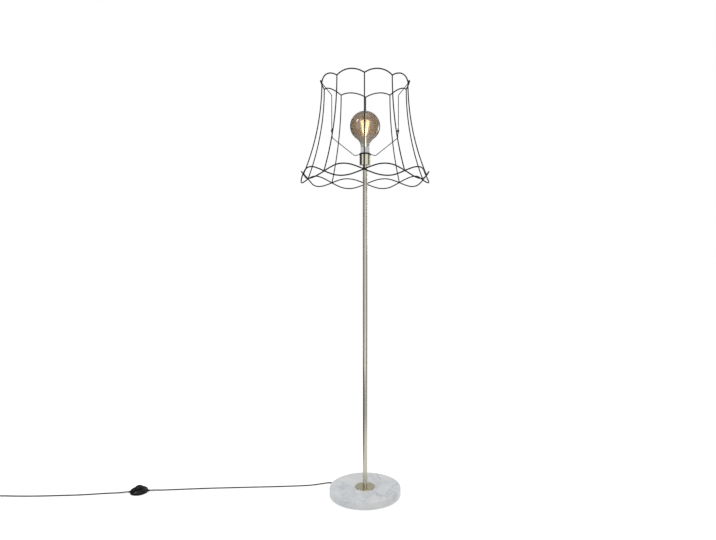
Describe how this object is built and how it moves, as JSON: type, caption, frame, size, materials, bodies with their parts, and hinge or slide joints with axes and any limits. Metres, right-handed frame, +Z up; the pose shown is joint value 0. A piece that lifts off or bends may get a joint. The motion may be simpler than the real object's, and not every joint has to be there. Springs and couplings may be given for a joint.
{
  "type": "floor lamp",
  "caption": "Floor lamp with a stone base, a brass pole, an open wire cage shade that tilts on a thin carrier round a globe bulb, and a mains cord with a foot switch.",
  "frame": {"origin": "centre of the base on the floor", "axes": "+Z up along the pole, -Y is the front, where one rib of the cage stands; the cord lies towards -X and the carrier's arms stand at +X and -X"},
  "size_m": [1.5685, 0.4492, 1.4551],
  "materials": {
    "marble": "polished",
    "brass_satin": "satin",
    "brass_polished": "polished",
    "contact_brass": "satin",
    "steel_zinc": "satin",
    "cap_nickel": "polished",
    "wire_black": "satin",
    "plastic_black": "satin",
    "rubber_black": "matte",
    "cord_black": "satin",
    "ceramic_white": "gloss",
    "glass_smoke": "polished",
    "glass_clear": "polished",
    "filament_glow": "gloss"
  },
  "bodies": {
    "stand": {"marble_base": "marble", "foot_pads": "rubber_black", "base_flange": "brass_polished", "base_nipple": "steel_zinc", "base_washer": "steel_zinc", "base_nut": "steel_zinc", "cord_grommet": "rubber_black", "pole_lower": "brass_satin", "pole_middle": "brass_satin", "pole_upper": "brass_satin", "pole_end_bushes": "steel_zinc", "pole_couplers": "steel_zinc", "holder_nipple": "steel_zinc", "holder_cup": "brass_polished", "holder_base": "plastic_black", "holder_barrel": "plastic_black", "thread_shell": "contact_brass", "holder_contacts": "contact_brass", "terminal_screws": "steel_zinc", "clamp_ring": "plastic_black", "inner_cable": "cord_black", "cord_to_switch": "cord_black", "switch_lower_shell": "plastic_black", "switch_upper_shell": "plastic_black", "switch_reliefs": "rubber_black", "switch_block": "plastic_black", "switch_screws": "steel_zinc", "button_spring": "steel_zinc", "cord_to_coil": "cord_black", "cord_coil": "cord_black", "plug_body": "plastic_black", "plug_pins": "cap_nickel", "pin_sleeves": "plastic_black"},
    "bulb": {"bulb_glass": "glass_smoke", "bulb_collar": "ceramic_white", "bulb_cap": "cap_nickel", "cap_contact": "cap_nickel", "bulb_stem": "glass_clear", "filament_frame": "steel_zinc", "led_filaments": "filament_glow"},
    "carrier": {"carrier_ring": "wire_black", "lower_arm_right": "wire_black", "lower_arm_left": "wire_black", "pivot_rivets": "wire_black"},
    "shade": {"upper_arm_right": "wire_black", "upper_arm_left": "wire_black", "top_ring": "wire_black", "wave_ring_outer": "wire_black", "wave_ring_inner": "wire_black", "rib_01": "wire_black", "rib_02": "wire_black", "rib_03": "wire_black", "rib_04": "wire_black", "rib_05": "wire_black", "rib_06": "wire_black", "rib_07": "wire_black", "rib_08": "wire_black", "rib_09": "wire_black", "rib_10": "wire_black"},
    "switch_key": {"switch_button": "plastic_black"}
  },
  "joints": [
    {"name": "shade_turn", "type": "hinge", "parent": "stand", "child": "carrier", "pos_m": [0, 0, 1.1959], "axis": [0, 0, 1], "continuous": true},
    {"name": "shade_tilt", "type": "hinge", "parent": "carrier", "child": "shade", "pos_m": [0, 0, 1.2789], "axis": [1, 0, 0], "range_deg": [-50, 50]},
    {"name": "bulb_lift", "type": "slide", "parent": "stand", "child": "bulb", "axis": [0, 0, 1], "range_m": [0, 0.06]},
    {"name": "switch_press", "type": "slide", "parent": "stand", "child": "switch_key", "axis": [0, 0, -1], "range_m": [0, 0.0025], "stiffness_N_per_m": 800, "springref_m": -0.001, "deforming": ["button_spring"]}
  ]
}
